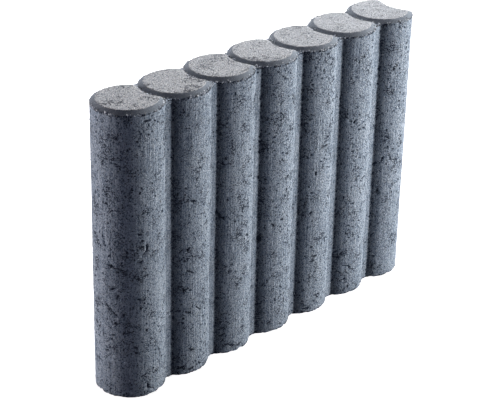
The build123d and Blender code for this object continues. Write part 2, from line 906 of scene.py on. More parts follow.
@dataclass(frozen=True)
class Wear:
    """How the cast skin strays from the mould.

    Lengths are in metres. Each fade is the span over which an effect comes in, measured down
    from the rims' feet or the flat tops, or inward over a void's edge. A size is the width of
    a noise's lumps, and a stretch or squash scales the space that the noise is read in.

    Attributes:
        unevenness: How far the walls swell.
        lumps: How far the lumps on them stand out.
        drag: How deep the upright marks of the mould are.
        void_depth: How deep the open voids are, scattered and placed ones.
        crumble: How far the lowest edge is broken away.
        bites: Where it is.
        burr: How far the edge under the rims is broken away.
        burr_patches: Where it is.
        top_roughness: How rough the flat tops are.
        pit_depth: How deep a pit is, on the average.
        pit_depths: The least and the greatest share of it that a pit reaches.
        pit_floor: How wide a pit's floor is, as a share of its mouth.
        pit_share: How many of the faces that may be pits are.
        top_pits: The chance of a pit on the flat tops.
        rim_pits: The chance in the row under the rims.
        web_pits: The chance on the webs, against 1 on the posts.
        pit_gate: What the noise has to reach for a pit, outside and inside a cluster.
        lowest_pit: The rest height that pits keep above.
    """

    unevenness: float = 0.35 * MM
    unevenness_size: float = 60 * MM
    lumps: float = 0.40 * MM
    lump_size: float = 9 * MM
    drag: float = 0.22 * MM
    drag_size: float = 4 * MM
    drag_stretch: Triple = (1.0, 1.0, 0.05)
    void_depth: float = 1.6 * MM
    void_clusters: Patches = Patches(45 * MM, 0.42, 0.62, detail=1.0)
    void_openings: Patches = Patches(8 * MM, 0.60, 0.72, detail=3.0, roughness=0.6)
    void_squash: Triple = (0.8, 0.8, 1.7)
    slot_fade: Span = (-0.7 * MM, 0.7 * MM)
    crumble: float = 1.8 * MM
    crumble_height: float = 5 * MM
    bites: Patches = Patches(7 * MM, 0.45, 0.75, detail=3.0, roughness=0.6)
    burr: float = 0.8 * MM
    burr_fade: Span = (2.2 * MM, 0.2 * MM)
    burr_patches: Patches = Patches(3.5 * MM, 0.5, 0.7)
    top_roughness: float = 0.45 * MM
    top_lump_size: float = 5 * MM
    wall_fade: Span = (0.2 * MM, 1.5 * MM)
    flat_fade: Span = (0.25 * MM, 0.02 * MM)
    pit_depth: float = 1.1 * MM
    pit_depths: Span = (0.5, 1.5)
    pit_floor: float = 0.62
    pit_size: float = 4 * MM
    pit_roughness: float = 0.6
    pit_clusters: Patches = Patches(26 * MM, 0.42, 0.64)
    pit_gate: Span = (0.73, 0.585)
    pit_share: float = 0.7
    top_pits: float = 0.02
    rim_pits: float = 0.5
    rim_pit_fade: Span = (2.4 * MM, 1.6 * MM)
    rim_clear_fade: Span = (0.4 * MM, 1.0 * MM)
    web_pits: float = 0.25
    lowest_pit: float = 0.2 * MM

    def values(self, sizes: BlockSizes) -> dict[str, float]:
        """Gives the wear tree's own number inputs.

        Args:
            sizes: The block's sizes.

        Returns:
            A value for each of them, by name.
        """
        return {
            "Shoulder": sizes.shoulder,
            "Height": sizes.height,
            "Unevenness": self.unevenness,
            "Lumps": self.lumps,
            "Drag": self.drag,
            "Void Depth": self.void_depth,
            "Crumble": self.crumble,
            "Top Roughness": self.top_roughness,
            "Top Pits": self.top_pits,
            "Rim Pits": self.rim_pits,
            "Pit Share": self.pit_share,
            "Pit Depth": self.pit_depth,
        }

    def tree(self, sizes: BlockSizes) -> bpy.types.NodeTree:
        """Geometry nodes that roughen the skin and open its pits.

        Args:
            sizes: The block's sizes.

        Returns:
            The node tree.
        """
        g, given = Graph.group("cast_wear", "GeometryNodeTree", {
            "Geometry": Carries.GEOMETRY,
            **dict.fromkeys(self.values(sizes), Carries.NUMBER),
            "Seed": Carries.WHOLE_NUMBER,
            "Finish": Carries.FINISH,
        }, {"Geometry": Carries.GEOMETRY})
        place = g.out(g.add("GeometryNodeInputPosition"))
        normal = g.out(g.add("GeometryNodeInputNormal"))
        rest = g.mark(Mark.REST_HEIGHT)
        under_rim = g.math("SUBTRACT", given["Shoulder"], rest)
        flat = g.ramp(g.math("SUBTRACT", given["Height"], rest), *self.flat_fade)
        squashed = g.vector("MULTIPLY", place, self.void_squash)
        read = SkinReadings(given, place, squashed, rest, under_rim, flat)

        moved = g.add("GeometryNodeSetPosition", {
            "Geometry": given["Geometry"],
            "Offset": g.vector("SCALE", normal, self.shift(g, read)),
        })
        low, high = self.pit_depths
        depth = g.random("FLOAT", g.math("ADD", given["Seed"], 1), Min=low, Max=high)
        sunk = g.add("GeometryNodeExtrudeMesh", {
            "Mesh": g.out(moved),
            "Selection": self.pit_choice(g, read),
            "Offset Scale": g.product(depth, given["Pit Depth"], -1.0),
            "Individual": False,
        })
        pit_floor = g.out(sunk, "Top")
        marked = g.add("GeometryNodeStoreNamedAttribute", {
            "Geometry": g.out(sunk, "Mesh"),
            "Selection": pit_floor,
            "Name": Mark.PIT.value,
            "Value": 1.0,
        }, data_type="FLOAT", domain="FACE")
        narrowed = g.add("GeometryNodeScaleElements", {
            "Geometry": g.out(marked),
            "Selection": pit_floor,
            "Scale": self.pit_floor,
        }, domain="FACE")
        dressed = g.add("GeometryNodeSetMaterial", {
            "Geometry": g.out(narrowed),
            "Material": given["Finish"],
        })
        whole = g.add("GeometryNodeRealizeInstances", {"Geometry": g.out(dressed)})
        g.add("NodeGroupOutput", {"Geometry": g.out(whole)})
        return g.tree

    def shift(self, g: Graph, read: SkinReadings) -> bpy.types.NodeSocket:
        """How far the skin moves along its normal.

        Args:
            g: The wear tree's graph.
            read: What it reads at each point.

        Returns:
            The distance, outward.
        """
        given, place = read.given, read.place
        wall = g.ramp(read.under_rim, *self.wall_fade)
        stretched = g.vector("MULTIPLY", place, self.drag_stretch)
        broad = g.product(g.swing(place, self.unevenness_size), given["Unevenness"], wall)
        lumps = g.product(g.swing(place, self.lump_size, detail=3.0), given["Lumps"], wall)
        drag = g.product(g.swing(stretched, self.drag_size, detail=1.0), given["Drag"], wall)
        clusters = g.patches(place, self.void_clusters)
        openings = g.patches(read.squashed, self.void_openings)
        voids = g.product(openings, clusters, given["Void Depth"], wall, -1.0)
        top_lumps = g.swing(place, self.top_lump_size, detail=4.0)
        top = g.product(top_lumps, given["Top Roughness"], read.flat)
        near_base = g.ramp(read.rest, 0.0, self.crumble_height, 1.0, 0.0)
        bites = g.patches(place, self.bites)
        crumble = g.product(near_base, bites, given["Crumble"], -1.0)
        near_rim = g.ramp(read.under_rim, *self.burr_fade)
        burr = g.product(near_rim, g.patches(place, self.burr_patches), wall, -self.burr)
        in_slot = g.ramp(g.mark(Mark.VOID_REACH), *self.slot_fade)
        slots = g.product(in_slot, given["Void Depth"], -1.0)
        return g.total(broad, lumps, drag, voids, top, crumble, burr, slots)

    def pit_choice(self, g: Graph, read: SkinReadings) -> bpy.types.NodeSocket:
        """Which faces open into pits.

        Args:
            g: The wear tree's graph.
            read: What it reads at each face.

        Returns:
            True for a pit.
        """
        given = read.given
        gate = g.patches(read.place, self.pit_clusters, *self.pit_gate)
        noise = g.noise(read.squashed, self.pit_size, roughness=self.pit_roughness)
        below_rim = g.ramp(read.under_rim, *self.rim_clear_fade)
        in_row = g.ramp(read.under_rim, *self.rim_pit_fade)
        off_web = g.fade(g.mark(Mark.WEB), 1.0, self.web_pits)
        chance = g.total(g.product(g.above(noise, gate), below_rim, off_web),
                         g.product(read.flat, given["Top Pits"]),
                         g.product(in_row, below_rim, given["Rim Pits"]))
        share = g.math("MINIMUM", g.product(chance, given["Pit Share"]), 1.0)
        pick = g.add("FunctionNodeBooleanMath", operation="AND")
        g.feed(pick.inputs[0], g.random("BOOLEAN", given["Seed"], Probability=share))
        g.feed(pick.inputs[1], g.above(read.rest, self.lowest_pit))
        return g.out(pick)


@dataclass
class CastBlock:
    """The concrete block's skin: walls, top and base as one closed mesh.

    Attributes:
        sizes: The block's sizes.
        voids: The placed voids.
        wear: How the skin strays from the mould.
        wall_cell: The walls' points' distance along the outline, in metres.
        row_step: Their rows' distance from each other.
        top_cell: The distance of the points on the upper side.
        base_cell: The distance of the points on the base.
        void_margin: How far from a placed void its reach is kept.
        recess_near: How near a recessed corner the painted shade is deepest.
        recess_far: How far from it the painted shade ends.
        web_edge: How near its far edge a web is marked as that edge.
        fine_steps: The finer rows' distances from the floor and from the rims' feet.
        seed: The seed of the pits' draws.
    """

    sizes: BlockSizes
    voids: tuple[Void, ...] = VOIDS
    wear: Wear = Wear()
    wall_cell: float = 2.2 * MM
    row_step: float = 2.75 * MM
    top_cell: float = 1.8 * MM
    base_cell: float = 8 * MM
    void_margin: float = 4 * MM
    recess_near: float = 3 * MM
    recess_far: float = 14 * MM
    web_edge: float = 1.6 * MM
    fine_steps: tuple[float, ...] = (0.7 * MM, 1.5 * MM, 2.6 * MM, 4.2 * MM)
    seed: int = 7

    def row_heights(self) -> np.ndarray:
        """Heights of the wall's rows, closer together at both edges.

        Returns:
            Heights from the floor to just under the rims' feet.
        """
        shoulder = self.sizes.shoulder
        low, high = self.fine_steps[-1], shoulder - self.fine_steps[-1]
        steps = round((high - low) / self.row_step)
        middle = np.linspace(low, high, steps + 1)[1:-1]
        fine = np.array(self.fine_steps)
        return np.concatenate([[0.0], fine, middle, shoulder - fine[::-1]])

    def rest_mesh(self, name: str) -> bpy.types.Mesh:
        """Builds the smooth skin, before any wear.

        Args:
            name: The mesh's name.

        Returns:
            A closed mesh that carries its own rest height.
        """
        loop = RowOutline(self.sizes, self.wall_cell).loop()
        count = len(loop)
        rows = self.row_heights()
        walls = [np.column_stack([loop, np.full(count, z)]) for z in rows]

        top_points, top_faces = TopMesh(self.sizes, loop, self.top_cell).build(True)
        top_z = self.sizes.top_height(top_points[:, 0], top_points[:, 1])
        base_points, base_faces = TopMesh(self.sizes, loop, self.base_cell).build(False)
        base_inner = base_points[count:]

        top_start = len(rows) * count
        base_start = top_start + len(top_points)
        faces = [self.wall_face(row, i, count) for row in range(len(rows)) for i in range(count)]
        faces += [tuple(top_start + i for i in face) for face in top_faces]
        faces += [
            tuple(i if i < count else base_start + i - count for i in reversed(face))
            for face in base_faces
        ]
        top = np.column_stack([top_points, top_z])
        base = np.column_stack([base_inner, np.zeros(len(base_inner))])
        vertices = np.concatenate([*walls, top, base])

        mesh = bpy.data.meshes.new(name)
        mesh.from_pydata(vertices.tolist(), [], faces)
        place = np.arange(len(vertices))
        on_wall = place < top_start
        on_top = (place >= top_start) & (place < base_start)
        reach, offset = self.nearest_void(vertices)
        ledge = self.sizes.ledge(vertices[:, 0], vertices[:, 1])
        marks = {
            Mark.REST_HEIGHT: vertices[:, 2],
            Mark.VOID_REACH: np.where(on_wall, reach, -self.void_margin),
            Mark.CORNER_SHADE: np.where(on_wall, self.recess(vertices), 0.0),
            Mark.WEB: np.where(on_wall, self.web(vertices), 0.0),
            Mark.LEDGE: np.where(on_top, ledge, 0.0),
        }
        for mark, values in marks.items():
            layer = mesh.attributes.new(mark.value, "FLOAT", "POINT")
            layer.data.foreach_set("value", values.astype(np.float32))
        layer = mesh.attributes.new(Mark.VOID_OFFSET.value, "FLOAT_VECTOR", "POINT")
        layer.data.foreach_set("vector", offset.astype(np.float32).ravel())
        return mesh

    def nearest_void(self, points: np.ndarray) -> tuple[np.ndarray, np.ndarray]:
        """How points lie to the placed void that they are nearest to.

        Args:
            points: The points, one in a row.

        Returns:
            How far inside its edge each point lies, negative outside and no lower than minus
            the void margin, and the way to each point from its line, in half widths.
        """
        reach = np.full(len(points), -np.inf)
        offset = np.zeros((len(points), 3))
        for void in self.voids:
            half = void.width * MM / 2
            apart = void.offset(self.sizes, points)
            inside = half - np.linalg.norm(apart, axis=1)
            nearer = inside > reach
            reach[nearer] = inside[nearer]
            offset[nearer] = apart[nearer] / half
        return np.maximum(reach, -self.void_margin), offset

    def recess(self, points: np.ndarray) -> np.ndarray:
        """How deep points sit in the corner where a web runs into the post after it, for the
        painted shade there.

        Args:
            points: The points, one in a row.

        Returns:
            From 0 in the open to 1 in the corner.
        """
        s = self.sizes
        deepest = np.zeros(len(points))
        for index in range(1, s.post_count):
            corner = s.middle(index) - s.valley_reach
            apart = np.hypot(points[:, 0] - corner, np.abs(points[:, 1]) - s.web_half)
            near = np.clip((self.recess_far - apart) / (self.recess_far - self.recess_near), 0, 1)
            beside = points[:, 0] > corner - SLACK
            deepest = np.maximum(deepest, near * beside)
        return deepest

    def web(self, points: np.ndarray) -> np.ndarray:
        """Tells which points of the wall lie on a flat web between two posts.

        Args:
            points: The points, one in a row.

        Returns:
            1 on a web, -1 at its far edge, where it runs into the next post, and 0 elsewhere.
        """
        s = self.sizes
        found = np.zeros(len(points))
        for index in range(s.post_count - 1):
            left = s.middle(index) + s.valley_reach - SLACK
            right = s.middle(index + 1) - s.valley_reach + SLACK
            found[(points[:, 0] > left) & (points[:, 0] < right)] = 1.0
            found[np.abs(points[:, 0] - right) < self.web_edge] = -1.0
        return found

    @staticmethod
    def wall_face(row: int, index: int, count: int) -> tuple[int, int, int, int]:
        """Corners of one wall face; the row past the last is the top's own border.

        Args:
            row: The row under the face.
            index: Its place along the outline.
            count: Points in the outline.

        Returns:
            Four vertex numbers, anticlockwise from outside.
        """
        low, following = row * count, (index + 1) % count
        return (low + index, low + following, low + count + following, low + count + index)

    def build(self, finish: bpy.types.Material) -> bpy.types.Object:
        """Builds the worn skin.

        Args:
            finish: The concrete.

        Returns:
            The block as a plain mesh object.
        """
        block = add_object("cast_block", self.rest_mesh("cast_block"))
        values = {**self.wear.values(self.sizes), "Seed": self.seed, "Finish": finish}
        run_nodes(block, self.wear.tree(self.sizes), values)
        return block


@dataclass
class Grit:
    """Small grains that stand proud of the cast skin.

    Attributes:
        name: The piece's name.
        density: Grains to a square metre.
        smallest: The least radius of a grain, in metres.
        largest: The greatest.
        band: The rest heights that the grains lie between, in metres.
        seed: The seed of their places; the draws that follow count on from it.
    """

    # The most that a grain is turned about each axis, in radians
    TURN = (6.3, 6.3, 6.3)
    # The least and the greatest of its three radii, against its size
    SQUATTEST = (0.6, 0.6, 0.5)
    LONGEST = (1.0, 1.4, 1.0)

    name: str
    density: float
    smallest: float
    largest: float
    band: Span
    seed: int

    def values(self) -> dict[str, float]:
        """Gives the tree's own number inputs.

        Returns:
            A value for each of them, by name.
        """
        return {
            "Density": self.density,
            "Smallest": self.smallest,
            "Largest": self.largest,
            "Band Low": self.band[0],
            "Band High": self.band[1],
        }

    def tree(self) -> bpy.types.NodeTree:
        """Geometry nodes that scatter grains over a band of rest heights.

        Returns:
            The node tree.
        """
        g, given = Graph.group(self.name, "GeometryNodeTree", {
            "Geometry": Carries.GEOMETRY,
            **dict.fromkeys(self.values(), Carries.NUMBER),
            "Seed": Carries.WHOLE_NUMBER,
            "Finish": Carries.FINISH,
        }, {"Geometry": Carries.GEOMETRY})
        rest = g.mark(Mark.REST_HEIGHT)
        above = g.above(rest, given["Band Low"])
        below = g.math("LESS_THAN", rest, given["Band High"])
        spread = g.add("GeometryNodeDistributePointsOnFaces", {
            "Mesh": given["Geometry"],
            "Density": g.product(above, below, given["Density"]),
            "Seed": given["Seed"],
        }, distribute_method="RANDOM")
        grain = g.add("GeometryNodeMeshIcoSphere", {"Radius": 1.0, "Subdivisions": 1})
        seeds = [given["Seed"], *(g.math("ADD", given["Seed"], step) for step in (1, 2, 3))]
        turn = g.random("FLOAT_VECTOR", seeds[0], Max=self.TURN)
        stretch = g.random("FLOAT_VECTOR", seeds[1], Min=self.SQUATTEST, Max=self.LONGEST)
        size = g.random("FLOAT", seeds[2], Min=given["Smallest"], Max=given["Largest"])
        shade = g.random("FLOAT", seeds[3], Min=0.0, Max=1.0)
        placed = g.add("GeometryNodeInstanceOnPoints", {
            "Points": g.out(spread, "Points"),
            "Instance": g.out(grain),
            "Rotation": turn,
            "Scale": g.vector("SCALE", stretch, size),
        })
        marked = g.add("GeometryNodeStoreNamedAttribute", {
            "Geometry": g.out(placed), "Name": Mark.SPECK.value, "Value": shade,
        }, data_type="FLOAT", domain="INSTANCE")
        whole = g.add("GeometryNodeRealizeInstances", {"Geometry": g.out(marked)})
        dressed = g.add("GeometryNodeSetMaterial", {
            "Geometry": g.out(whole), "Material": given["Finish"],
        })
        g.add("NodeGroupOutput", {"Geometry": g.out(dressed)})
        return g.tree

    def build(self, skin: bpy.types.Object, finish: bpy.types.Material) -> bpy.types.Object:
        """Scatters the grains over a finished skin.

        Args:
            skin: The block's mesh object.
            finish: The grains' material.

        Returns:
            The grains as one plain mesh object.
        """
        grains = add_object(self.name, skin.data.copy())
        values = {**self.values(), "Seed": self.seed, "Finish": finish}
        run_nodes(grains, self.tree(), values)
        return grains


def add_object(name: str, mesh: bpy.types.Mesh) -> bpy.types.Object:
    """Puts a mesh in the scene, at the origin.

    Args:
        name: The object's name.
        mesh: Its mesh.

    Returns:
        The new object.
    """
    made = bpy.data.objects.new(name, mesh)
    bpy.context.scene.collection.objects.link(made)
    return made


def run_nodes(target: bpy.types.Object, tree: bpy.types.NodeTree, values: dict) -> None:
    """Runs a geometry tree on an object and keeps the result as its plain mesh.

    Args:
        target: The object to change.
        tree: The tree to run.
        values: What each of the tree's named inputs gets.
    """
    modifier = target.modifiers.new(tree.name, "NODES")
    modifier.node_group = tree
    for item in tree.interface.items_tree:
        if item.item_type == "SOCKET" and item.in_out == "INPUT" and item.name in values:
            modifier[item.identifier] = values[item.name]
    depsgraph = bpy.context.evaluated_depsgraph_get()
    evaluated = target.evaluated_get(depsgraph)
    mesh = bpy.data.meshes.new_from_object(evaluated, preserve_all_data_layers=True,
                                           depsgraph=depsgraph)
    target.modifiers.clear()
    mesh.name = target.name
    target.data = mesh


@dataclass(frozen=True)
class Aggregate:
    """Sand grains of many tones in mottled paste.

    Attributes:
        bend: How far the grains' outlines wander, in metres.
        upright: How the grains' cells are scaled, which makes them taller than wide.
        fleck_chance: The cells' random numbers from which a grain is a bright fleck.
        fleck_contrast: The grain contrast at which flecks come in.
        fleck_light: How much lighter a fleck is.
        shade_middle: The mean of the grains' shades.
        dome: How far a grain stands out at its middle, in the relief's own units.
        step: How far grains differ in height.
        swell: How far the mottled paste rises and falls.
    """

    bend: float = 0.8 * MM
    upright: Triple = (1.0, 1.0, 0.6)
    fleck_chance: Span = (0.97, 0.98)
    fleck_contrast: Span = (0.3, 0.6)
    fleck_light: float = 0.8
    shade_middle: float = 0.667
    mottle_detail: float = 4.0
    mottle_roughness: float = 0.7
    dome: float = 0.8
    step: float = 0.5
    swell: float = 2.0

    def group(self) -> bpy.types.NodeTree:
        """Builds the shader group.

        Returns:
            A group that gives a tone about 1 and a height about 0.
        """
        g, given = Graph.group("aggregate", "ShaderNodeTree", {
            "Vector": Carries.VECTOR,
            "Grain Size": Carries.NUMBER,
            "Grain Contrast": Carries.NUMBER,
            "Mottle Size": Carries.NUMBER,
            "Mottle Contrast": Carries.NUMBER,
        }, {"Tone": Carries.NUMBER, "Height": Carries.NUMBER})
        place = given["Vector"]
        wobble = g.swing(place, given["Grain Size"], self.bend, 1.0)
        bent = g.vector("ADD", place, g.vector("SCALE", (1.0, 1.0, 1.0), wobble))
        upright = g.vector("MULTIPLY", bent, self.upright)
        distance, chance, rare = g.cells(upright, given["Grain Size"])
        with_flecks = g.ramp(given["Grain Contrast"], *self.fleck_contrast)
        fleck = g.product(g.ramp(rare, *self.fleck_chance), with_flecks, self.fleck_light)
        shade = g.math("POWER", chance, 0.5)
        mottle = g.noise(place, given["Mottle Size"], self.mottle_detail, self.mottle_roughness)
        tone = g.total(
            1.0,
            fleck,
            g.about(shade, self.shade_middle, given["Grain Contrast"]),
            g.about(mottle, 0.5, given["Mottle Contrast"]),
        )
        height = g.total(
            g.about(distance, 0.4, -self.dome),
            g.about(chance, 0.5, self.step),
            g.about(mottle, 0.5, self.swell),
        )
        g.add("NodeGroupOutput", {"Tone": tone, "Height": height})
        return g.tree


@dataclass(frozen=True)
class Pores:
    """Small round and crack-like voids that gather in clusters.

    Widths and radii are in pore sizes, or in cells' widths where they bound a cell's disc. A
    rarity is what a cell's random number has to pass, outside and inside a cluster.

    Attributes:
        clusters: Where the clusters' noise starts and where it is whole.
        ragged: How far the pores' edges wander, in metres.
        ragged_size: How wide the wandering's lumps are.
        wander: Which way the edges wander.
        hole_radius: The least radius of a hole, and how far it varies.
        hole_edge: Half the width of its soft edge.
        pin_strength: The least darkness of a pinhole, and how far it varies.
        crack_width: How far from its thread a crack ends and is whole.
        crack_clusters: How deep in a cluster cracks start and are whole.
    """

    clusters: Span = (0.42, 0.64)
    ragged: float = 1.6 * MM
    ragged_size: float = 0.6
    wander: Triple = (1.0, -1.0, 1.0)
    hole_squash: Triple = (0.9, 0.9, 1.3)
    hole_rarity: Span = (0.98, 0.70)
    hole_radius: Span = (0.20, 0.25)
    hole_edge: float = 0.04
    pin_squash: Triple = (1.1, 1.1, 0.72)
    pin_size: float = 0.5
    pin_rarity: Span = (0.74, 0.44)
    pin_radius: Span = (0.30, 0.22)
    pin_edge: float = 0.05
    pin_strength: Span = (0.65, 0.4)
    crack_squash: Triple = (0.8, 0.8, 1.4)
    crack_size: float = 3.4
    crack_width: Span = (0.034, 0.020)
    crack_clusters: Span = (0.65, 1.05)

    @staticmethod
    def varied(g: Graph, chance: bpy.types.NodeSocket, span: Span) -> bpy.types.NodeSocket:
        """Varies a measure with a random number.

        Args:
            g: The group's graph.
            chance: The random number, from 0 to 1.
            span: The least measure, and how far it varies.

        Returns:
            The measure.
        """
        least, reach = span
        return g.math("ADD", g.product(chance, reach), least)

    @staticmethod
    def disc(g: Graph, distance: bpy.types.NodeSocket, radius: bpy.types.NodeSocket,
             edge: float) -> bpy.types.NodeSocket:
        """A soft-edged disc at each cell's middle.

        Args:
            g: The group's graph.
            distance: The distance to the cell's middle.
            radius: The disc's radius.
            edge: Half the width of its soft edge.

        Returns:
            A mask.
        """
        return g.ramp(g.math("SUBTRACT", distance, radius), edge, -edge)

    def group(self) -> bpy.types.NodeTree:
        """Builds the shader group.

        Returns:
            A group that gives a mask.
        """
        g, given = Graph.group("pores", "ShaderNodeTree", {
            "Vector": Carries.VECTOR,
            "Pore Size": Carries.NUMBER,
            "Cluster Size": Carries.NUMBER,
            "Coverage": Carries.NUMBER,
        }, {"Mask": Carries.NUMBER})
        place, pore_size = given["Vector"], given["Pore Size"]
        cluster = g.ramp(g.noise(place, given["Cluster Size"], 2.0), *self.clusters)
        ragged = g.swing(place, g.product(pore_size, self.ragged_size), self.ragged)
        bent = g.vector("ADD", place, g.vector("SCALE", self.wander, ragged))

        squashed = g.vector("MULTIPLY", bent, self.hole_squash)
        distance, chance, breadth = g.cells(squashed, pore_size)
        radius = self.varied(g, breadth, self.hole_radius)
        holes = g.product(self.disc(g, distance, radius, self.hole_edge),
                          g.above(chance, g.fade(cluster, *self.hole_rarity)))

        slim = g.vector("MULTIPLY", bent, self.pin_squash)
        gap, luck, girth = g.cells(slim, g.product(pore_size, self.pin_size))
        radius = self.varied(g, girth, self.pin_radius)
        pinholes = g.product(self.disc(g, gap, radius, self.pin_edge),
                             g.above(luck, g.fade(cluster, *self.pin_rarity)),
                             self.varied(g, girth, self.pin_strength))

        leaning = g.vector("MULTIPLY", bent, self.crack_squash)
        swing = g.swing(leaning, g.product(pore_size, self.crack_size), 1.0)
        thread = g.math("ABSOLUTE", swing)
        cracks = g.product(g.ramp(thread, *self.crack_width),
                           g.ramp(cluster, *self.crack_clusters))
        mask = g.product(g.highest(holes, cracks, pinholes), given["Coverage"])
        g.add("NodeGroupOutput", {"Mask": mask})
        return g.tree


class StoneEffects:
    """Shader groups that the concrete and its loose grit share."""

    def __init__(self) -> None:
        """Builds each group once."""
        self.aggregate = Aggregate().group()
        self.pores = Pores().group()


@dataclass(frozen=True)
class ConcreteFinish:
    """Anthracite concrete, and how its walls, rims and flat tops differ; the rims' darker colour
    is painted shade.

    Colours are linear, and lengths are in metres. A dark is how far a mark hides the face behind
    the colour of a hollow, a painted shade: the pores, pits and voids are real hollows, and their
    darkness is painted.

    Attributes:
        wall_edge: Where the walls' finish starts and is whole, from the rims' feet.
        flat_edge: Where the flat tops' finish starts and is whole, from the tops.
        fray_size: The width of the lumps that fray the flat tops' edge.
        fray: How far they fray it.
        rim_grain: The rims' share of the grain's contrast.
        rim_mottle: Their share of the mottling's contrast.
        rim_relief: Their share of the relief.
        top_mottle: The flat tops' share of the mottling's contrast.
        top_pores: The flat tops' share of pores, at the round end and at the hollow end.
        top_grain: Their share of the grain's contrast, at both ends.
        web_pores: The webs' share of pores.
        rim_lip: Where the broken dark row under the rims, with its painted shadow gaps, starts and
            is whole, from their feet.
        base_lip: Where the broken dark row along the base, with its painted shadow gaps, ends and
            is whole, from the floor.
        burr_gap: How far from its cell's middle a burr ends and is whole, in cells.
        burr_rarity: What a burr's random number has to pass, off and on the painted shadow line.
        shadow_line_facing: How far a rim's foot faces the hollow end where its painted shadow line
            comes in.
        shadow_line_reach: How much wider the broken dark marks are on the painted shadow line, in
            cells.
        crease_mark_gap: How far from its cell's middle a crease mark ends and is whole, in cells.
        crease_mark_rarity: What a crease mark's random number has to pass.
        crease_mark_edge: The web's mark where the painted crease shade comes in along its far
            edge.
        slot_half: Half the width that a placed void is drawn at.
        torn: How far its edge is torn, and torn_size the width of the tears.
        slot_near: The reach at which a placed void may start, and where it is whole.
        tint_span: The tones that are wholly cool and wholly warm.
        darkest: The darkest tone of the face.
    """

    wall: Triple = (0.308, 0.378, 0.474)
    # Painted shade: the rims are the same concrete as the walls, written darker for the shade on
    # their slopes
    rim: Triple = (0.186, 0.216, 0.256)
    top: Triple = (0.477, 0.501, 0.537)
    # Painted shade: the near-black that stands in for the shade inside hollows, gaps and creases
    hollow: Triple = (0.006, 0.014, 0.034)
    cool: Triple = (0.92, 1.0, 1.09)
    warm: Triple = (1.05, 0.985, 0.91)
    wall_edge: Span = (0.15 * MM, -0.05 * MM)
    flat_edge: Span = (-0.45 * MM, -0.30 * MM)
    fray_size: float = 1.8 * MM
    fray: float = 1.2 * MM
    grain_size: float = 0.8 * MM
    grain_contrast: float = 1.2
    mottle_size: float = 4.5 * MM
    mottle_contrast: float = 0.62
    cloud_size: float = 40 * MM
    cloud_contrast: float = 0.42
    drag_size: float = 1.8 * MM
    drag_contrast: float = 0.9
    drag_stretch: Triple = (1.0, 1.0, 0.04)
    rim_grain: float = 0.4
    rim_mottle: float = 0.5
    rim_relief: float = 0.2
    top_mottle: float = 0.28
    top_pores: Span = (0.85, 0.35)
    top_grain: Span = (1.05, 0.5)
    web_pores: float = 0.4
    pore_size: float = 2.4 * MM
    pore_cluster: float = 18 * MM
    # Painted shade inside the pores and the sunk pits, on top of their relief and depth
    pore_dark: float = 0.97
    pit_dark: float = 0.8
    rim_lip: Span = (-2.2 * MM, -1.7 * MM)
    base_lip: Span = (2.4 * MM, 1.6 * MM)
    burr_size: float = 2.2 * MM
    burr_stretch: Triple = (1.0, 1.0, 0.4)
    burr_gap: Span = (0.58, 0.52)
    burr_rarity: Span = (0.32, 0.06)
    # Painted shadow: how dark the gaps under the rims' feet and along the base are
    burr_and_gap_shade: float = 0.97
    shadow_line_facing: Span = (0.1, 0.45)
    shadow_line_reach: float = 0.4
    # Painted shade: broken dark marks in the crease where a web meets the next post
    crease_mark_size: float = 2.6 * MM
    crease_mark_stretch: Triple = (1.0, 1.0, 0.8)
    crease_mark_gap: Span = (0.56, 0.46)
    crease_mark_rarity: float = 0.45
    crease_mark_edge: Span = (-0.15, -0.5)
    slot_half: float = 1 * MM
    slot_edge: float = 0.12 * MM
    slot_near: Span = (-2.4 * MM, -1.4 * MM)
    # How dark the placed voids and the crease marks are, as painted shade
    slot_and_crease_shade: float = 0.9
    torn: float = 2.4 * MM
    torn_size: float = 1.6 * MM
    # Painted shade: how far the colour darkens in the corner where a web meets the next post
    painted_corner_shade: float = 0.62
    # Painted light: how much lighter the webs are written
    painted_web_light: float = 1.06
    tint_span: Span = (0.4, 1.6)
    darkest: float = 0.12
    roughness: float = 0.88
    sheen: float = 0.25
    relief: float = 0.55 * MM
    relief_strength: float = 0.85
    pore_relief: float = 2.0
    drag_relief: float = 2.0

    @staticmethod
    def at(level: float, span: Span) -> Span:
        """Moves a span of heights to a level."""
        return level + span[0], level + span[1]

    def burrs_and_shadow_gaps(self, g: Graph, sizes: BlockSizes, place: bpy.types.NodeSocket,
              rest: bpy.types.NodeSocket, wall: bpy.types.NodeSocket) -> bpy.types.NodeSocket:
        """The broken dark rows under the rims and along the base: broken edges with painted shadow
        in their gaps.

        The row under the rims is tighter where it faces the hollow end, as a painted shadow line.

        Args:
            g: The material's graph.
            sizes: The block's sizes.
            place: The point's position.
            rest: Its rest height.
            wall: 1 on the walls.

        Returns:
            A mask.
        """
        under_rim = g.ramp(rest, *self.at(sizes.shoulder, self.rim_lip))
        over_base = g.ramp(rest, *self.base_lip)
        gap, luck, _ = g.cells(g.vector("MULTIPLY", place, self.burr_stretch), self.burr_size)
        facing = g.along_x(g.out(g.add("ShaderNodeNewGeometry"), "Normal"))
        # Painted shadow line under the rims' feet on the side that faces the hollow end
        shadow_line = g.product(g.ramp(facing, *self.shadow_line_facing), under_rim)
        gap = g.math("SUBTRACT", gap, g.product(shadow_line, self.shadow_line_reach))
        broken = g.product(g.ramp(gap, *self.burr_gap),
                           g.above(luck, g.fade(shadow_line, *self.burr_rarity)))
        return g.product(g.highest(under_rim, over_base), wall, broken)

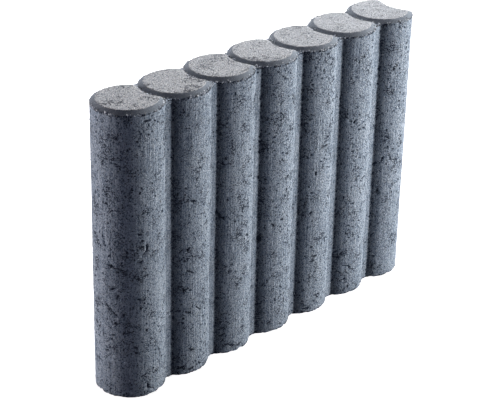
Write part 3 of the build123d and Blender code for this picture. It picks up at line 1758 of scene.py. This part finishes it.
    def crease_shade_marks(self, g: Graph, place: bpy.types.NodeSocket,
                web: bpy.types.NodeSocket) -> bpy.types.NodeSocket:
        """Broken dark marks down each web's far edge: painted shade in the crease where it meets
        the next post.

        Args:
            g: The material's graph.
            place: The point's position.
            web: Its mark as a part of a web.

        Returns:
            A mask.
        """
        gap, luck, _ = g.cells(g.vector("MULTIPLY", place, self.crease_mark_stretch), self.crease_mark_size)
        return g.product(g.ramp(gap, *self.crease_mark_gap), g.above(luck, self.crease_mark_rarity),
                         g.ramp(web, *self.crease_mark_edge))

    def slots(self, g: Graph, place: bpy.types.NodeSocket) -> bpy.types.NodeSocket:
        """The placed voids, with torn edges.

        Args:
            g: The material's graph.
            place: The point's position.

        Returns:
            A mask.
        """
        torn = g.swing(place, self.torn_size, self.torn)
        offset = g.add("ShaderNodeAttribute", attribute_name=Mark.VOID_OFFSET.value)
        apart = g.vector("LENGTH", g.out(offset, "Vector"))
        within = g.math("ADD", g.about(apart, 1.0, -self.slot_half), torn)
        return g.product(g.ramp(within, -self.slot_edge, self.slot_edge),
                         g.ramp(g.skin(Mark.VOID_REACH), *self.slot_near))

    def material(self, sizes: BlockSizes, effects: StoneEffects) -> bpy.types.Material:
        """Builds the concrete.

        Args:
            sizes: The block's sizes, for its zones.
            effects: The shared shader groups.

        Returns:
            The material.
        """
        made = bpy.data.materials.new("anthracite_concrete")
        g = Graph.emptied(made)
        place = g.out(g.add("ShaderNodeTexCoord"), "Object")
        rest = g.skin(Mark.REST_HEIGHT)
        web = g.skin(Mark.WEB)
        wall = g.ramp(rest, *self.at(sizes.shoulder, self.wall_edge))
        frayed = g.math("ADD", rest, g.swing(place, self.fray_size, self.fray))
        flat = g.ramp(frayed, *self.at(sizes.height, self.flat_edge))
        flat = g.highest(flat, g.skin(Mark.LEDGE))
        open_grain = g.highest(wall, flat)
        row = (sizes.first_post, sizes.middle(sizes.post_count - 1))
        along = g.along_x(place)
        top_pores = g.ramp(along, *row, *self.top_pores)
        top_grain = g.ramp(along, *row, *self.top_grain)

        aggregate = g.add("ShaderNodeGroup", {
            "Vector": place,
            "Grain Size": self.grain_size,
            "Grain Contrast": g.product(g.fade(open_grain, self.rim_grain, 1.0),
                                        g.fade(flat, 1.0, top_grain), self.grain_contrast),
            "Mottle Size": self.mottle_size,
            "Mottle Contrast": g.product(g.fade(open_grain, self.rim_mottle, 1.0),
                                         g.fade(flat, 1.0, self.top_mottle), self.mottle_contrast),
        }, node_tree=effects.aggregate)
        pore = g.out(g.add("ShaderNodeGroup", {
            "Vector": place,
            "Pore Size": self.pore_size,
            "Cluster Size": self.pore_cluster,
            "Coverage": g.product(open_grain, g.fade(flat, 1.0, top_pores),
                                  g.fade(web, 1.0, self.web_pores)),
        }, node_tree=effects.pores))

        stretched = g.vector("MULTIPLY", place, self.drag_stretch)
        drag = g.swing(stretched, self.drag_size, self.drag_contrast)
        cloud = g.swing(place, self.cloud_size, self.cloud_contrast)
        tone = g.total(g.out(aggregate, "Tone"), g.product(drag, wall), g.product(cloud, wall))
        tint = g.blend(g.ramp(tone, *self.tint_span), (*self.cool, 1), (*self.warm, 1))
        # Painted shade: darker towards the corner where a web meets the next post
        painted_dark_corner = g.product(g.skin(Mark.CORNER_SHADE), self.painted_corner_shade)
        # Painted light: lighter on the webs
        tone = g.product(g.highest(tone, self.darkest), g.math("SUBTRACT", 1.0, painted_dark_corner),
                         g.fade(web, 1.0, self.painted_web_light))
        # The rims' darker colour is painted shade
        zone = g.blend(wall, (*self.rim, 1), (*self.wall, 1))
        zone = g.blend(flat, zone, (*self.top, 1))
        face = g.vector("MULTIPLY", g.vector("SCALE", zone, tone), tint)

        # Painted shade: pores, pits, burrs, placed voids and crease marks take the near-black of a
        # hollow
        hollow_shade_mask = g.highest(
            g.product(pore, self.pore_dark),
            g.product(g.skin(Mark.PIT), self.pit_dark),
            g.product(self.burrs_and_shadow_gaps(g, sizes, place, rest, wall), self.burr_and_gap_shade),
            g.product(self.slots(g, place), self.slot_and_crease_shade),
            g.product(self.crease_shade_marks(g, place, web), self.slot_and_crease_shade),
        )
        height = g.total(g.out(aggregate, "Height"), g.product(pore, -self.pore_relief),
                         g.product(drag, wall, self.drag_relief))
        relief = g.add("ShaderNodeBump", {
            "Height": g.product(height, g.fade(open_grain, self.rim_relief, 1.0)),
            "Distance": self.relief,
            "Strength": self.relief_strength,
        })
        skin = g.add("ShaderNodeBsdfPrincipled", {
            "Base Color": g.blend(hollow_shade_mask, face, (*self.hollow, 1)),
            "Roughness": self.roughness,
            "Specular IOR Level": self.sheen,
            "Normal": g.out(relief),
        })
        g.add("ShaderNodeOutputMaterial", {"Surface": g.out(skin)})
        return made


@dataclass(frozen=True)
class GrainFinish:
    """Sand grains and crumbs, from dark paste to bright quartz.

    Attributes:
        name: The material's name.
        bright_from: The grains' random numbers from which they are bright.
        bright_soft: How far the numbers run on until a grain is wholly bright.
        middle_span: The numbers from which grains leave the dark and reach the middle tone.
    """

    name: str = "sand_grain"
    dark: Triple = (0.12, 0.13, 0.15)
    middle: Triple = (0.30, 0.34, 0.40)
    bright: Triple = (0.78, 0.84, 0.92)
    bright_from: float = 0.88
    bright_soft: float = 0.08
    middle_span: Span = (0.2, 0.7)
    mottle_size: float = 0.6 * MM
    contrast: float = 0.5
    roughness: float = 0.6
    relief: float = 0.1 * MM
    relief_strength: float = 0.5

    def material(self, effects: StoneEffects) -> bpy.types.Material:
        """Builds the grains' material.

        Args:
            effects: The shared shader groups.

        Returns:
            The material.
        """
        made = bpy.data.materials.new(self.name)
        g = Graph.emptied(made)
        place = g.out(g.add("ShaderNodeTexCoord"), "Object")
        speck = g.skin(Mark.SPECK)
        aggregate = g.add("ShaderNodeGroup", {
            "Vector": place,
            "Grain Size": self.mottle_size,
            "Grain Contrast": self.contrast,
            "Mottle Size": self.mottle_size,
            "Mottle Contrast": self.contrast,
        }, node_tree=effects.aggregate)
        colour = g.blend(g.ramp(speck, *self.middle_span), (*self.dark, 1), (*self.middle, 1))
        share = g.ramp(speck, self.bright_from, self.bright_from + self.bright_soft)
        colour = g.blend(share, colour, (*self.bright, 1))
        relief = g.add("ShaderNodeBump", {
            "Height": g.out(aggregate, "Height"),
            "Distance": self.relief,
            "Strength": self.relief_strength,
        })
        skin = g.add("ShaderNodeBsdfPrincipled", {
            "Base Color": g.vector("SCALE", colour, g.out(aggregate, "Tone")),
            "Roughness": self.roughness,
            "Normal": g.out(relief),
        })
        g.add("ShaderNodeOutputMaterial", {"Surface": g.out(skin)})
        return made


@dataclass(frozen=True)
class SoftLamp:
    """One square softbox that faces the block's middle.

    Its azimuth runs from the block's front towards its hollow end. At strength 1, what faces
    it renders in the colour that is written.
    """

    name: str
    azimuth: float
    elevation: float
    strength: float
    colour: Triple = (1.0, 1.0, 1.0)
    distance: float = 1.4
    side: float = 0.6
    aim: Triple = (0.0, 0.0, 0.17)

    def build(self) -> bpy.types.Object:
        """Hangs the softbox.

        Returns:
            The light.
        """
        around, up = math.radians(self.azimuth), math.radians(self.elevation)
        level = math.cos(up)
        away = Vector((math.sin(around) * level, -math.cos(around) * level, math.sin(up)))
        data = bpy.data.lights.new(self.name, "AREA")
        data.shape = "SQUARE"
        data.size = self.side
        data.energy = self.strength * (math.pi * self.distance) ** 2
        data.color = self.colour
        lamp = bpy.data.objects.new(self.name, data)
        lamp.location = Vector(self.aim) + away * self.distance
        lamp.rotation_mode = "QUATERNION"
        lamp.rotation_quaternion = (-away).to_track_quat("-Z", "Y")
        bpy.context.scene.collection.objects.link(lamp)
        return lamp


@dataclass(frozen=True)
class Studio:
    """Pale floor, softboxes and the camera at the photograph's viewing angle.

    Attributes:
        camera_place: Where the camera stands, in metres.
        heading: Its turn from +Y towards +X, in degrees.
        pitch: How far it looks down, in degrees.
        roll: How far it leans, in degrees.
        focal_share: Its focal length, in picture widths.
        lift: Its vertical shift, in picture widths.
        sensor: Its sensor's width, in millimetres.
        floor_matt: The floor's colour as light meets it.
        floor_pale: Its colour in the camera, before its glow.
        air: The colour of the even fill.
    """

    camera_place: Triple = (-1.1959, -1.1778, 1.0198)
    heading: float = 45.16
    pitch: float = 25.31
    roll: float = 1.38
    focal_share: float = 1597.66 / 500
    lift: float = -0.1
    sensor: float = 36.0
    floor_side: float = 14.0
    floor_matt: Triple = (0.2, 0.2, 0.22)
    floor_pale: Triple = (0.9, 0.9, 0.9)
    floor_glow: float = 0.8
    air: Triple = (0.69, 0.52, 1.0)
    air_strength: float = 0.034
    white: Triple = (1.0, 1.0, 1.0)
    lamps: tuple[SoftLamp, ...] = (
        SoftLamp("key_right", 60, 8, 1.18, (1.045, 0.997, 0.93)),
        SoftLamp("key_front", 44, 14, 0.19, (0.98, 1.0, 1.04)),
        SoftLamp("back_left", -138, 8, 0.77, (1.10, 1.0, 0.97)),
        SoftLamp("front_left", -80, 8, 0.02, (0.9, 1.0, 1.3)),
        SoftLamp("back_high", 118, 38.5, 1.41, distance=2.0, side=0.85),
    )

    def camera(self) -> bpy.types.Object:
        """Sets up the camera.

        Returns:
            The camera.
        """
        yaw, pitch, roll = (math.radians(a) for a in (self.heading, self.pitch, self.roll))
        ahead = Vector((math.sin(yaw) * math.cos(pitch), math.cos(yaw) * math.cos(pitch),
                        -math.sin(pitch)))
        level = Vector((math.cos(yaw), -math.sin(yaw), 0))
        upright = level.cross(ahead)
        right = math.cos(roll) * level + math.sin(roll) * upright
        up = math.cos(roll) * upright - math.sin(roll) * level
        data = bpy.data.cameras.new("photo_camera")
        data.sensor_width = self.sensor
        data.lens = self.focal_share * self.sensor
        data.shift_y = self.lift
        camera = bpy.data.objects.new("photo_camera", data)
        turn = Matrix((right, up, -ahead)).transposed().to_4x4()
        camera.matrix_world = Matrix.Translation(self.camera_place) @ turn
        bpy.context.scene.collection.objects.link(camera)
        bpy.context.scene.camera = camera
        return camera

    def floor(self) -> bpy.types.Object:
        """Lays the floor.

        Returns:
            The floor.
        """
        half = self.floor_side / 2
        corners = [(-half, -half, 0), (half, -half, 0), (half, half, 0), (-half, half, 0)]
        mesh = bpy.data.meshes.new("studio_floor")
        mesh.from_pydata(corners, [], [(0, 1, 2, 3)])
        floor = add_object("studio_floor", mesh)
        mesh.materials.append(self.floor_material())
        return floor

    def floor_material(self) -> bpy.types.Material:
        """A pale floor that keeps the block's shadow and glares no light back at it.

        Returns:
            The material.
        """
        made = bpy.data.materials.new("pale_floor")
        g = Graph.emptied(made)
        path = g.add("ShaderNodeLightPath")
        seen = g.highest(g.out(path, "Is Camera Ray"), g.out(path, "Is Glossy Ray"))
        matt = g.add("ShaderNodeBsdfDiffuse", {"Color": (*self.floor_matt, 1)})
        pale = g.add("ShaderNodeBsdfDiffuse", {"Color": (*self.floor_pale, 1)})
        glow = g.add("ShaderNodeEmission",
                     {"Color": (*self.white, 1), "Strength": self.floor_glow})
        lit = g.add("ShaderNodeAddShader")
        g.feed(lit.inputs[0], g.out(pale))
        g.feed(lit.inputs[1], g.out(glow))
        both = g.either(seen, g.out(matt), g.out(lit))
        g.add("ShaderNodeOutputMaterial", {"Surface": both})
        return made

    def world(self) -> bpy.types.World:
        """A faint even fill that the camera sees as white.

        Returns:
            The world.
        """
        world = bpy.data.worlds.new("studio_air")
        bpy.context.scene.world = world
        g = Graph.emptied(world)
        path = g.add("ShaderNodeLightPath")
        fill = g.add("ShaderNodeBackground",
                     {"Color": (*self.air, 1), "Strength": self.air_strength})
        white = g.add("ShaderNodeBackground", {"Color": (*self.white, 1), "Strength": 1.0})
        both = g.either(g.out(path, "Is Camera Ray"), g.out(fill), g.out(white))
        g.add("ShaderNodeOutputWorld", {"Surface": both})
        return world

    def build(self) -> None:
        """Sets the whole studio up."""
        self.camera()
        self.floor()
        self.world()
        for lamp in self.lamps:
            lamp.build()
        bpy.context.scene.view_settings.view_transform = "Standard"


def smooth(piece: bpy.types.Object, crease_degrees: float) -> None:
    """Shades a piece smoothly, apart from its sharp edges.

    Args:
        piece: The object.
        crease_degrees: The angle past which an edge stays sharp.
    """
    piece.data.shade_smooth()
    piece.data.set_sharp_from_angle(angle=math.radians(crease_degrees))


def triangles(piece: bpy.types.Object) -> int:
    """Counts a piece's triangles."""
    return sum(len(face.vertices) - 2 for face in piece.data.polygons)


def loose_grit(sizes: BlockSizes) -> tuple[Grit, Grit, Grit]:
    """Describes the grit on the walls, along the rims' feet and on the flat tops.

    Args:
        sizes: The block's sizes.

    Returns:
        The three kinds, in that order.
    """
    return (
        Grit("wall_grit", density=9000, smallest=0.25 * MM, largest=0.7 * MM,
             band=(2 * MM, sizes.shoulder - 1 * MM), seed=21),
        Grit("rim_crumbs", density=180000, smallest=0.6 * MM, largest=1.25 * MM,
             band=(sizes.shoulder - 0.9 * MM, sizes.shoulder + 0.5 * MM), seed=22),
        Grit("top_grit", density=12000, smallest=0.25 * MM, largest=0.7 * MM,
             band=(sizes.height - 0.1 * MM, sizes.height + 1 * MM), seed=23),
    )


def main() -> None:
    """Builds the block, its grit and the studio, in that order."""
    logging.basicConfig(level=logging.INFO, format="%(name)s: %(message)s")
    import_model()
    node = "palisade_block"
    sizes = BlockSizes.from_frame(node)
    effects = StoneEffects()
    concrete = ConcreteFinish().material(sizes, effects)
    sand = GrainFinish().material(effects)
    lime = GrainFinish("lime_crumb", bright_from=0.35).material(effects)

    block = CastBlock(sizes).build(concrete)
    smooth(block, crease_degrees=30)
    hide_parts(node)
    on_wall, on_rims, on_tops = loose_grit(sizes)
    pieces = [
        block,
        on_wall.build(block, sand),
        on_rims.build(block, lime),
        on_tops.build(block, sand),
    ]
    for piece in pieces:
        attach(piece, "root")
        LOG.info("%s: %d triangles", piece.name, triangles(piece))

    Studio().build()


if __name__ == "__main__":
    main()
